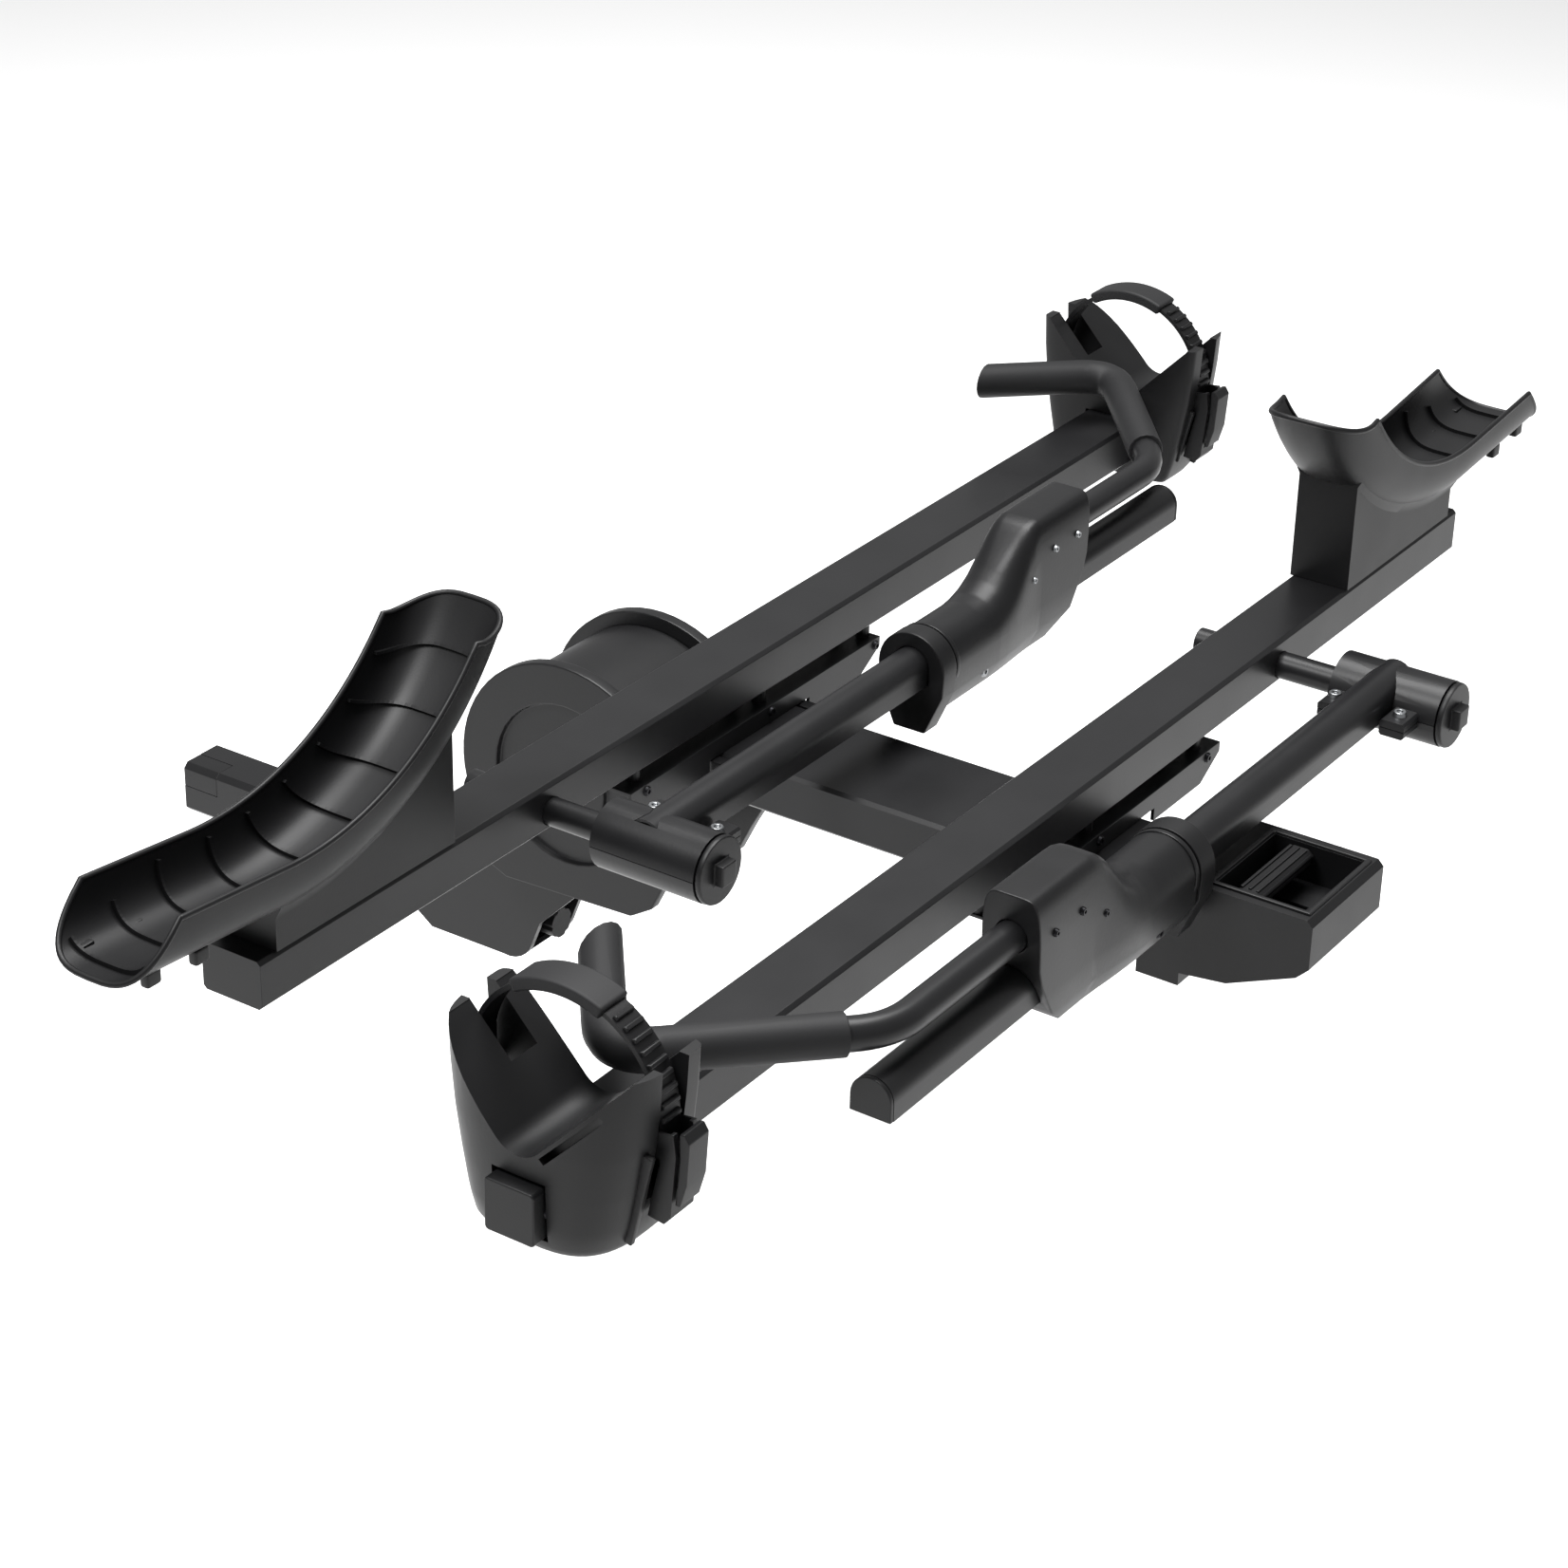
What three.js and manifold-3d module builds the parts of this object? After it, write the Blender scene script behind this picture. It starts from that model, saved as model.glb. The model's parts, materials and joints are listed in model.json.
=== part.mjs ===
// A hitch mounted platform rack for two bikes, in millimetres, +Z up.
// The origin is the centre of the hitch pin hole, on the axis of the tongue.
// +Y points along the tongue towards the vehicle, and +X runs along the wheel trays.
import * as THREE from "three";
import { mergeVertices } from "three/addons/utils/BufferGeometryUtils.js";
import Module from "manifold-3d";

const wasm = await Module();
wasm.setup();

// ---- Driving dimensions ----------------------------------------------------------------
const GAP = 0.3; // between pieces that touch
const TONGUE = { half: 25.4, tip: 70, back: -285, bore: 19, pinHole: 8, corner: 5 };
const DRAW_ROD = { z: -13, radius: 4 }; // it passes under the hitch pin
const PIVOT = { y: -410, z: 172, bolt: 12 };
const RISER = { inside: 26.2, outside: 32 };
const HOOD = { outer: 98, inner: 91, half: 56 };
const COVER = { inside: 57, outside: 69, radius: 110 };
const MAST = { half: 55, bottom: 202, top: 243, wall: 3, front: -511, back: -1004 };
const LOCK = { z: 222, rod: 4, nose: 9 };
const HANDLE = { half: 59, top: 270, back: -1097 };
const LEVER = { y: -1026, z: 204, pin: 2.5 };

// The rest are measured on one tray: along its beam from the scoop's end, sideways from
// its middle, and up from its underside.
const TRAY_BOTTOM = 272.9;
const BEAM = { half: 27.5, height: 39.4, wall: 2.5, length: 1305 };
const SADDLE = { half: 180, top: -13.9, sheet: 3.2, bottom: -40.9 };
const SHAFT = { at: 332, z: 15.5, radius: 11.5, front: -180, back: 50 };
const CLAMP = { radius: 28, front: -179.5, back: -84, ears: 386 };
const ARM = { y: -125, z: 27.8, radius: 16.4, bottom: 14, start: 320, end: 1103, wall: 2.5 };
const RIM = { at: 36.3, z: 358.2, radius: 245, lift: 5.6, steepest: 58, depth: 45 };
const CUP = { inner: 1232, outer: 1326, half: 81, top: 119.7, bottom: -17, valley: 52 };
const STRAP = { at: 1266, z: 76.5, radius: 74.6, thick: 3.5, width: 22, hingeZ: 64 };
const HEAD = { start: 709, barrel: 772, crest: 850, end: 934, top: 104, half: 24.2 };
const COLLAR = { start: 687, end: 708, radius: 32, z: 25, keel: -31 };
const HOOK = { z: 70, radius: 12.5, sleeve: 15.8 };

// The front tray runs towards +X. The rear one is its mirror image.
const TRAYS = [
  { name: "front", direction: 1, y: -533.1 },
  { name: "rear", direction: -1, y: -863.8 },
];
const SCOOP_END = 613.4; // from the mast's middle to the scoop's end of a beam

// ---- Materials -------------------------------------------------------------------------
const finish = (color, roughness, metalness) =>
  new THREE.MeshStandardMaterial({ color, roughness, metalness });
const powderCoat = finish(0x1c1c1d, 0.5, 0.3);
const castBlack = finish(0x202021, 0.55, 0.2);
const plastic = finish(0x18181a, 0.6, 0);
const softPlastic = finish(0x131314, 0.75, 0);
const rubber = finish(0x1b1b1c, 0.85, 0);
const zinc = finish(0xb4b6b8, 0.35, 0.9);
const darkSteel = finish(0x2a2a2c, 0.4, 0.8);

// ---- Solids ----------------------------------------------------------------------------
function toSolid(geometry) {
  const bare = geometry.clone();
  bare.deleteAttribute("normal");
  bare.deleteAttribute("uv");
  const merged = mergeVertices(bare, 1e-4);
  return new wasm.Manifold(
    new wasm.Mesh({
      numProp: 3,
      vertProperties: new Float32Array(merged.attributes.position.array),
      triVerts: new Uint32Array(merged.index.array),
    }),
  );
}

function toGeometry(solid) {
  const mesh = solid.getMesh();
  const geometry = new THREE.BufferGeometry();
  geometry.setAttribute("position", new THREE.BufferAttribute(mesh.vertProperties, 3));
  geometry.setIndex(new THREE.BufferAttribute(mesh.triVerts, 1));
  return geometry;
}

function piece(name, solid, material, group) {
  const mesh = new THREE.Mesh(toGeometry(solid), material);
  mesh.name = name;
  group.add(mesh);
  return mesh;
}

// An outline of [a, b] points pushed along one axis: x takes (y, z), y takes (x, z), z takes (x, y).
const AXES = {
  x: new THREE.Matrix4().set(0, 0, 1, 0, 1, 0, 0, 0, 0, 1, 0, 0, 0, 0, 0, 1),
  y: new THREE.Matrix4().set(1, 0, 0, 0, 0, 0, -1, 0, 0, 1, 0, 0, 0, 0, 0, 1),
  z: new THREE.Matrix4(),
};

function prism(axis, outline, from, to) {
  const shape = new THREE.Shape(outline.map(([a, b]) => new THREE.Vector2(a, b)));
  const geometry = new THREE.ExtrudeGeometry(shape, {
    depth: to - from,
    bevelEnabled: false,
    curveSegments: 1,
  });
  geometry.translate(0, 0, axis === "y" ? -to : from);
  geometry.applyMatrix4(AXES[axis]);
  return toSolid(geometry);
}

const rectangle = (a0, a1, b0, b1, cut = 0) =>
  cut
    ? [
        [a0 + cut, b0],
        [a1 - cut, b0],
        [a1, b0 + cut],
        [a1, b1 - cut],
        [a1 - cut, b1],
        [a0 + cut, b1],
        [a0, b1 - cut],
        [a0, b0 + cut],
      ]
    : [
        [a0, b0],
        [a1, b0],
        [a1, b1],
        [a0, b1],
      ];

function arc(a, b, radius, fromDegrees, toDegrees, steps) {
  const points = [];
  for (let i = 0; i <= steps; i++) {
    const t = ((fromDegrees + ((toDegrees - fromDegrees) * i) / steps) * Math.PI) / 180;
    points.push([a + radius * Math.cos(t), b + radius * Math.sin(t)]);
  }
  return points;
}

const circle = (a, b, radius, steps = 20) => arc(a, b, radius, 0, 360 - 360 / steps, steps - 1);
const box = (x0, x1, y0, y1, z0, z1, cut = 0) =>
  prism("x", rectangle(y0, y1, z0, z1, cut), x0, x1);
const rod = (axis, a, b, radius, from, to, steps) =>
  prism(axis, circle(a, b, radius, steps), from, to);

// A closed skin through rings of points, each ring convex and with the same count.
function loft(rings) {
  const count = rings[0].length;
  const positions = [];
  rings.forEach((ring) => ring.forEach((point) => positions.push(...point)));
  const index = [];
  for (let r = 0; r + 1 < rings.length; r++)
    for (let i = 0; i < count; i++) {
      const j = (i + 1) % count;
      const [a, b] = [r * count + i, r * count + j];
      index.push(a, b, b + count, a, b + count, a + count);
    }
  const last = (rings.length - 1) * count;
  for (let i = 1; i + 1 < count; i++) {
    index.push(0, i + 1, i);
    index.push(last, last + i, last + i + 1);
  }
  const geometry = new THREE.BufferGeometry();
  geometry.setAttribute("position", new THREE.Float32BufferAttribute(positions, 3));
  geometry.setIndex(index);
  let solid = toSolid(geometry);
  if (solid.volume() < 0) {
    geometry.setIndex(index.reverse());
    solid = toSolid(geometry);
  }
  return solid;
}

// A round bar along a path of straight runs with rounded corners.
function bentBar(corners, bends, radius, steps) {
  const path = new THREE.CurvePath();
  const points = corners.map((c) => new THREE.Vector3(...c));
  let start = points[0];
  for (let i = 1; i + 1 < points.length; i++) {
    const back = points[i - 1].clone().sub(points[i]).setLength(bends[i - 1]);
    const ahead = points[i + 1].clone().sub(points[i]).setLength(bends[i - 1]);
    const enter = points[i].clone().add(back);
    const leave = points[i].clone().add(ahead);
    path.add(new THREE.LineCurve3(start, enter));
    path.add(new THREE.QuadraticBezierCurve3(enter, points[i], leave));
    start = leave;
  }
  path.add(new THREE.LineCurve3(start, points[points.length - 1]));
  const ring = new THREE.Shape(circle(0, 0, radius, 12).map(([a, b]) => new THREE.Vector2(a, b)));
  return toSolid(new THREE.ExtrudeGeometry(ring, { steps, extrudePath: path, curveSegments: 1 }));
}

// ---- Hitch base ------------------------------------------------------------------------
function hitchBase(group) {
  const { half, tip, back, bore, pinHole, corner } = TONGUE;
  const { z: rodZ, radius: rodRadius } = DRAW_ROD;
  const wedgeRoom = box(-half - 1, -2, 29.7, tip + 1, 2, half + 1);
  const tongue = prism("y", rectangle(-half, half, -half, half, corner), back, tip)
    .subtract(box(-bore, bore, back + 8, tip + 1, -bore, bore, 2))
    .subtract(rod("y", 0, rodZ, rodRadius + GAP, back - 1, back + 9, 12))
    .subtract(rod("x", 0, 0, pinHole, -half - 1, half + 1))
    .subtract(wedgeRoom);
  piece("hitch_tongue", tongue, powderCoat, group);

  // The corner wedge moves out along the tongue's diagonal and takes up the play in the receiver.
  const wedgeOutline = [
    [-half, 2.4],
    [-2.4, 2.4],
    [-2.4, half],
    [corner - half, half],
    [-half, half - corner],
  ];
  piece("anti_rattle_wedge", prism("y", wedgeOutline, 30, tip), castBlack, group);

  const drawRod = rod("y", 0, rodZ, rodRadius, back - 30, tip - 6, 12);
  piece("draw_rod", drawRod, darkSteel, group);

  // The knob behind the tongue turns the draw rod.
  const knobFront = back - 2;
  let knob = rod("y", 0, rodZ, 14, knobFront - 65, knobFront - 10, 24);
  knob = knob.add(rod("y", 0, rodZ, 16, knobFront - 14, knobFront, 24));
  for (let angle = 0; angle < 360; angle += 60) {
    const t = (angle * Math.PI) / 180;
    const [x, z] = [16.5 * Math.cos(t), rodZ + 16.5 * Math.sin(t)];
    knob = knob.subtract(rod("y", x, z, 4, knobFront - 70, knobFront - 18, 8));
  }
  knob = knob.subtract(rod("y", 0, rodZ, rodRadius + GAP, back - 31, back, 12));
  piece("attach_knob", knob, plastic, group);

  // Two side plates, welded beside the tongue, carry the fold pivot above and behind it.
  const plate = [
    ...arc(PIVOT.y, PIVOT.z, 86, 0, 200, 18),
    [-352, 0],
    ...arc(-316, -16, 28, 195, 280, 6),
    [-230, -44],
    [-205, -26],
    [-200, 24],
    [-262, 44],
    [-334, 110],
  ];
  const sides = { left: [-RISER.outside, -RISER.inside], right: [RISER.inside, RISER.outside] };
  Object.entries(sides).forEach(([side, [from, to]]) => {
    const boltHole = rod("x", PIVOT.y, PIVOT.z, PIVOT.bolt + GAP, from - 1, to + 1, 24);
    const solid = prism("x", plate, from, to).subtract(boltHole);
    piece("riser_" + side, solid, powderCoat, group);
  });
  const webOutline = [
    [-236, -39.5],
    [-236, -43.6],
    ...arc(-316, -16, 27.6, 270, 225, 5),
    ...arc(-316, -16, 23.4, 225, 270, 5),
  ];
  const web = prism("x", webOutline, -RISER.inside + GAP, RISER.inside - GAP);
  piece("riser_web", web, castBlack, group);

  const sector = [
    ...arc(PIVOT.y, PIVOT.z, HOOD.outer, -20, 170, 32),
    ...arc(PIVOT.y, PIVOT.z, HOOD.inner, 170, -20, 32),
  ];
  const pinMouth = rod("y", 0, LOCK.z, LOCK.nose + 1, -520, PIVOT.y, 16);
  piece("pivot_hood", prism("x", sector, -HOOD.half, HOOD.half).subtract(pinMouth), plastic, group);

  const bolt = rod("x", PIVOT.y, PIVOT.z, PIVOT.bolt, 4 - COVER.outside, COVER.outside - 4, 24);
  piece("pivot_bolt", bolt, zinc, group);
}

// ---- Mast ------------------------------------------------------------------------------
function mast(group) {
  const { half, bottom, top, wall, front, back } = MAST;
  const room = rectangle(-half + wall, half - wall, bottom + wall, top - wall);
  const tube = prism("y", rectangle(-half, half, bottom, top, 3), back, front);
  const mastTube = tube.subtract(prism("y", room, back - 1, front + 1));
  piece("mast_tube", mastTube, powderCoat, group);

  // A cover on each side of the mast's front end reaches round the pivot.
  const { inside, outside, radius } = COVER;
  const outline = [
    ...arc(PIVOT.y, PIVOT.z, radius, -20, 139.8, 26),
    [-575, 242],
    [-560, 196],
    [-514, 111],
    [-500, 82],
    [-478, 68],
    [-345, 62],
    [-326, 70],
  ];
  [-1, 1].forEach((side) => {
    const across = (a, b) => (side > 0 ? [a, b] : [-b, -a]);
    const disc = (r, a, b) => rod("x", PIVOT.y, PIVOT.z, r, ...across(a, b), 36);
    const cover = prism("x", outline, ...across(inside, outside))
      .subtract(disc(73, outside - 5, outside + 1))
      .add(disc(40, outside - 6, outside - 1))
      .subtract(disc(PIVOT.bolt + GAP, inside - 1, outside - 3.5));
    piece(side < 0 ? "pivot_cover_left" : "pivot_cover_right", cover, castBlack, group);
  });

  // The handle shell closes the end of the mast, and the squeeze lever stands in its recess.
  const profile = [
    [HANDLE.back, 229],
    [-1087, 219],
    [-1030, 194],
    [-990, 189],
    [-990, 178],
    [-953, 178],
    [-953, 246],
    [-972, 250],
    [-991, HANDLE.top],
    [-1092, HANDLE.top],
    [HANDLE.back, 265],
  ];
  const shell = prism("x", profile, -HANDLE.half, HANDLE.half)
    .subtract(box(-half - GAP, half + GAP, back - GAP, -900, bottom - GAP, top + GAP))
    .subtract(box(-47, 47, -1085, -1010, 238, HANDLE.top + 1))
    .subtract(box(-12, 12, -1036, back, 199, 239))
    .subtract(box(-12, 12, -1060, -1035, 214, 239));
  piece("handle_shell", shell, plastic, group);

  const leverPin = rod("x", LEVER.y, LEVER.z, LEVER.pin, -11.7, 11.7, 12);
  piece("lever_pin", leverPin, zinc, group);
  const blade = [
    [-1030, 244],
    [-1021.5, 244],
    [-1023, 255],
    [-1029, 266],
    [-1038, 268.5],
    [-1043, 266],
    [-1036, 260],
    [-1031, 251],
  ];
  const stem = [
    [-1030, 246],
    [-1030, LEVER.z - 4],
    [-1021.5, LEVER.z - 4],
    [-1021.5, 246],
  ];
  const lever = prism("x", blade, -44, 44)
    .add(prism("x", stem, -10, 10))
    .subtract(rod("x", LEVER.y, LEVER.z, LEVER.pin + GAP, -50, 50, 12));
  piece("tilt_lever", lever, softPlastic, group);

  // The lock rod runs inside the mast, from the lever to the nose that locks the pivot.
  const lockRod = rod("y", 0, LOCK.z, LOCK.rod, -1020, -540, 12).add(
    rod("y", 0, LOCK.z, LOCK.nose, -545, -500, 16),
  );
  piece("lock_rod", lockRod, darkSteel, group);
  const spring = rod("y", 0, LOCK.z, 8.5, -620, -560, 16).subtract(
    rod("y", 0, LOCK.z, LOCK.rod + GAP, -621, -559, 12),
  );
  piece("lock_spring", spring, zinc, group);
}

// ---- Wheel tray, built along its beam ---------------------------------------------------
function trayBeam(prefix, group) {
  const { half, height, wall, length } = BEAM;
  const hole = rod("y", SHAFT.at, SHAFT.z, SHAFT.radius + GAP, -half - 1, half + 1, 24);
  const beam = box(0, length, -half, half, 0, height, 3)
    .subtract(box(wall, length + 1, -half + wall, half - wall, wall, height - wall, 2))
    .subtract(hole);
  piece(prefix + "tray_beam", beam, powderCoat, group);
}

// The saddle is bolted across the mast and holds the beam on spacers above it.
function saddle(prefix, group) {
  const { half, top, sheet, bottom } = SADDLE;
  const width = BEAM.half;
  const mastTop = MAST.top + GAP - TRAY_BOTTOM;
  const flange = [
    [-half, top],
    [-half, top - 9],
    [-half + 30, bottom],
    [-72, bottom],
    [-72, mastTop],
    [72, mastTop],
    [72, bottom],
    [half - 30, bottom],
    [half, top - 9],
    [half, top],
  ].map(([x, z]) => [SCOOP_END + x, z]);
  let bracket = box(SCOOP_END - half, SCOOP_END + half, -width, width, top - sheet, top)
    .add(box(SCOOP_END - 50, SCOOP_END + 50, -width + 3, width - 3, mastTop, top - 1))
    .add(prism("y", flange, -width, -width + sheet))
    .add(prism("y", flange, width - sheet, width));
  [-158, 16, 173].forEach((x) => {
    [-14, 14].forEach((y) => {
      bracket = bracket.add(rod("z", SCOOP_END + x, y, 6, top - 1, -GAP, 12));
    });
  });
  piece(prefix + "saddle_bracket", bracket, powderCoat, group);
}

// The scoop is a trough that follows the wheel. Its floor lifts slightly towards the outer
// end and runs into a steep arc at the inner end.
function scoop(prefix, group) {
  const { at, z: centreZ, radius, lift, steepest, depth } = RIM;
  const onArc = (a) => [at + radius * Math.sin(a), centreZ - radius * Math.cos(a)];
  const liftAngle = (-lift * Math.PI) / 180;
  const [x0, z0] = onArc(liftAngle);
  const straight = (x, deep) => [x, z0 + (x - x0) * Math.tan(liftAngle), liftAngle, deep];
  const stations = [straight(-170, 47), straight(-70, 51)];
  for (let i = 0; i <= 12; i++) {
    const degrees = -lift + ((steepest + lift) * i) / 12;
    const a = (degrees * Math.PI) / 180;
    stations.push([...onArc(a), a, degrees > 42 ? 39 : depth]);
  }
  const trough = (section) =>
    loft(
      stations.map(([x, z, a, deep]) =>
        section(deep).map(([y, down]) => [x + down * Math.sin(a), y, z - down * Math.cos(a)]),
      ),
    );
  const outer = (deep) => [
    [-45, 0],
    [-44.5, deep - 22],
    [-40, deep - 8],
    [-28, deep],
    [28, deep],
    [40, deep - 8],
    [44.5, deep - 22],
    [45, 0],
  ];
  const channel = arc(0, 2, 41, 171, 9, 10).map(([y, down]) => [y, down * 0.82]);
  const inner = () => [[-41, -30], [-41, 2], ...channel, [41, 2], [41, -30]];
  const sideCut = [
    [-96, 220],
    [-96, 126],
    [-128, 96],
    [-230, 94],
    [-230, 220],
  ];
  const endCut = [
    [-230, 20],
    [-150, 20],
    [-146, 76],
    [-136, 220],
    [-230, 220],
  ];
  const noseCut = [[216, -60], ...arc(200, 0, 52, -60, 60, 10), [216, 60], [320, 60], [320, -60]];
  const shell = trough(outer)
    .subtract(trough(inner))
    .subtract(prism("y", sideCut, -60, 60))
    .subtract(prism("y", endCut, -60, 60))
    .subtract(prism("z", noseCut, 150, 300));
  piece(prefix + "wheel_scoop", shell, plastic, group);

  // The pedestal stands on the beam and follows the scoop's underside.
  const [inEnd, outEnd] = [215.5, 18];
  const under = radius + depth + GAP;
  const angleAt = (x) => -90 + (Math.asin((x - at) / under) * 180) / Math.PI;
  const side = [
    [outEnd, BEAM.height + GAP],
    [inEnd, BEAM.height + GAP],
    ...arc(at, centreZ, under, angleAt(inEnd), angleAt(outEnd), 12),
  ];
  piece(prefix + "scoop_pedestal", prism("y", side, -27.3, 27.3), plastic, group);
}

// The cup holds the other wheel in a V, on the open end of the beam.
function cup(prefix, group) {
  const { inner, outer, half, top, bottom, valley } = CUP;
  const plan = (z, narrow, shorten) => {
    const edge = [
      [inner, 0.9],
      [inner + 5, 1],
      [outer - 25, 1],
      [outer - 19, 0.93],
      [outer - 8, 0.66],
      [outer, 0.25],
    ];
    const middle = (inner + outer) / 2;
    const right = edge.map(([x, share]) => {
      return [middle + (x - middle) * shorten, share * half * narrow, z];
    });
    return [...right, ...right.map(([x, y]) => [x, -y, z]).reverse()];
  };
  const wheelRoom = [
    [-72, top + 9],
    [-72, top],
    ...arc(0, valley + 22, 22, 225, 315, 6),
    [72, top],
    [72, top + 9],
  ];
  const { at, z, radius, thick, width, hingeZ } = STRAP;
  const slot = (y0, y1) => box(at - 13.5, at + 13.5, y0, y1, 52, top + 20);
  const hinge = rod("x", radius, hingeZ, 2.4, at - 14, at + 14, 10);
  const levels = [plan(bottom, 0.74, 0.93), plan(2, 0.81, 0.97), plan(62, 0.95, 1), plan(top, 1, 1)];
  const [side, roof] = [BEAM.half + GAP, BEAM.height + GAP];
  const body = loft(levels)
    .subtract(prism("x", wheelRoom, inner - 20, outer + 20))
    .subtract(box(inner - 20, BEAM.length + GAP, -side, side, -GAP, roof))
    .subtract(box(BEAM.length - 1, outer + 20, -20.5, 20.5, -6.7, 34.3))
    .subtract(slot(57, half + 5))
    .subtract(slot(-half - 5, -57))
    .add(hinge);
  piece(prefix + "wheel_cup", body, plastic, group);

  const block = box(BEAM.length + 0.6, 1335.5, -20.1, 20.1, -6.3, 33.9, 2);
  piece(prefix + "cup_block", block, plastic, group);

  // The ladder strap is an arc over the tyre, hinged in the far slot of the cup.
  const band = (grow) => [
    ...arc(0, z, radius + thick / 2 + grow, 10, 180, 24),
    ...arc(0, z, radius - thick / 2 - grow, 180, 10, 24),
  ];
  const [left, right] = [at - width / 2, at + width / 2];
  const strap = prism("x", band(0), left, right)
    .add(box(left, right, -radius - thick / 2, -radius + thick / 2, 54, z + 0.5))
    .add(rod("x", radius, hingeZ, 6, left, right, 14))
    .add(box(left, right, radius - thick, radius + thick / 3, hingeZ + 4, z + 14))
    .subtract(rod("x", radius, hingeZ, 2.4 + GAP, left - 1, right + 1, 10));
  piece(prefix + "ladder_strap", strap, softPlastic, group);
  const padOutline = [...arc(0, z, radius + 6, 58, 115, 10), ...arc(0, z, radius - 4.5, 115, 58, 10)];
  const strapRoom = prism("x", band(GAP), left - GAP, right + GAP);
  const pad = prism("x", padOutline, left - 3.5, right + 3.5).subtract(strapRoom);
  piece(prefix + "strap_pad", pad, rubber, group);

  // The buckle sits on the cup's near side, and its lever lies down the outer face.
  const buckleOutline = [
    [-72, 54],
    [-72, 74],
    [-88, 76],
    [-90, 60],
    [-86, 12],
    [-81, 6],
    [-68, 8],
    [-77.4, 51],
    [-77.4, 54],
  ];
  const buckle = prism("x", buckleOutline, at - 13, at + 13)
    .subtract(box(at - 11.3, at + 11.3, -85, -60, 50, 80))
    .subtract(box(at - 8, at + 8, -95, -84, 20, 80));
  piece(prefix + "strap_buckle", buckle, plastic, group);
  const leverOutline = [
    [-91, 77],
    [-95, 78],
    [-99, 72],
    [-97, 40],
    [-92, 22],
    [-88.5, 22],
    [-91.5, 58],
  ];
  piece(prefix + "buckle_lever", prism("x", leverOutline, at - 11, at + 11), plastic, group);
}

// The hook arm folds on a shaft through the beam.
function hookArm(prefix, group) {
  const shaft = rod("y", SHAFT.at, SHAFT.z, SHAFT.radius, SHAFT.front, SHAFT.back, 24);
  piece(prefix + "pivot_shaft", shaft, powderCoat, group);

  // The clamp's two halves meet at the height of the shaft, and bolt together through
  // their ears on either side of the arm.
  const { radius, front, back, ears } = CLAMP;
  const bore = rod("y", SHAFT.at, SHAFT.z, SHAFT.radius + GAP, front - 1, back + 1, 24);
  const armRoom = armSection(GAP, ARM.start - GAP, ears + 10);
  const earGap = ARM.radius + 2;
  const barrel = rod("y", SHAFT.at, SHAFT.z, radius, front, back, 28)
    .add(box(SHAFT.at, ears, front + 14, ARM.y - earGap, SHAFT.z - 7, SHAFT.z + 7, 2))
    .add(box(SHAFT.at, ears, ARM.y + earGap, back - 4, SHAFT.z - 7, SHAFT.z + 7, 2))
    .subtract(bore)
    .subtract(armRoom);
  const [west, east] = [SHAFT.at - radius - 5, ears + 5];
  const upperSpace = box(west, east, front - 1, back + 1, SHAFT.z + GAP, SHAFT.z + 60);
  const lowerSpace = box(west, east, front - 1, back + 1, SHAFT.z - 60, SHAFT.z - GAP);
  piece(prefix + "clamp_upper", barrel.intersect(upperSpace), castBlack, group);
  piece(prefix + "clamp_lower", barrel.intersect(lowerSpace), castBlack, group);

  const cap = rod("y", SHAFT.at, SHAFT.z, radius - 0.5, front - 6, front - 0.8, 28).add(
    box(SHAFT.at - 9, SHAFT.at + 9, front - 14, front - 5, SHAFT.z - 9, SHAFT.z + 9),
  );
  piece(prefix + "shaft_end_cap", cap, plastic, group);

  const { start, end, wall } = ARM;
  const tube = armSection(0, start, end).subtract(armSection(-wall, start - 1, end + 1));
  piece(prefix + "arm_tube", tube.subtract(bore), powderCoat, group);
  const plug = armSection(0, end + GAP, end + 4).add(armSection(-wall - GAP, end - 20, end + 1));
  piece(prefix + "arm_plug", plug, plastic, group);
}

// The arm's section has a flat underside and a round top. It can be made larger all round.
function armSection(grow, from, to) {
  const radius = ARM.radius + grow;
  const outline = [
    [ARM.y - radius, ARM.bottom - grow],
    [ARM.y + radius, ARM.bottom - grow],
    ...arc(ARM.y, ARM.z, radius, 0, 180, 14),
  ];
  return prism("x", outline, from, to);
}

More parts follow.
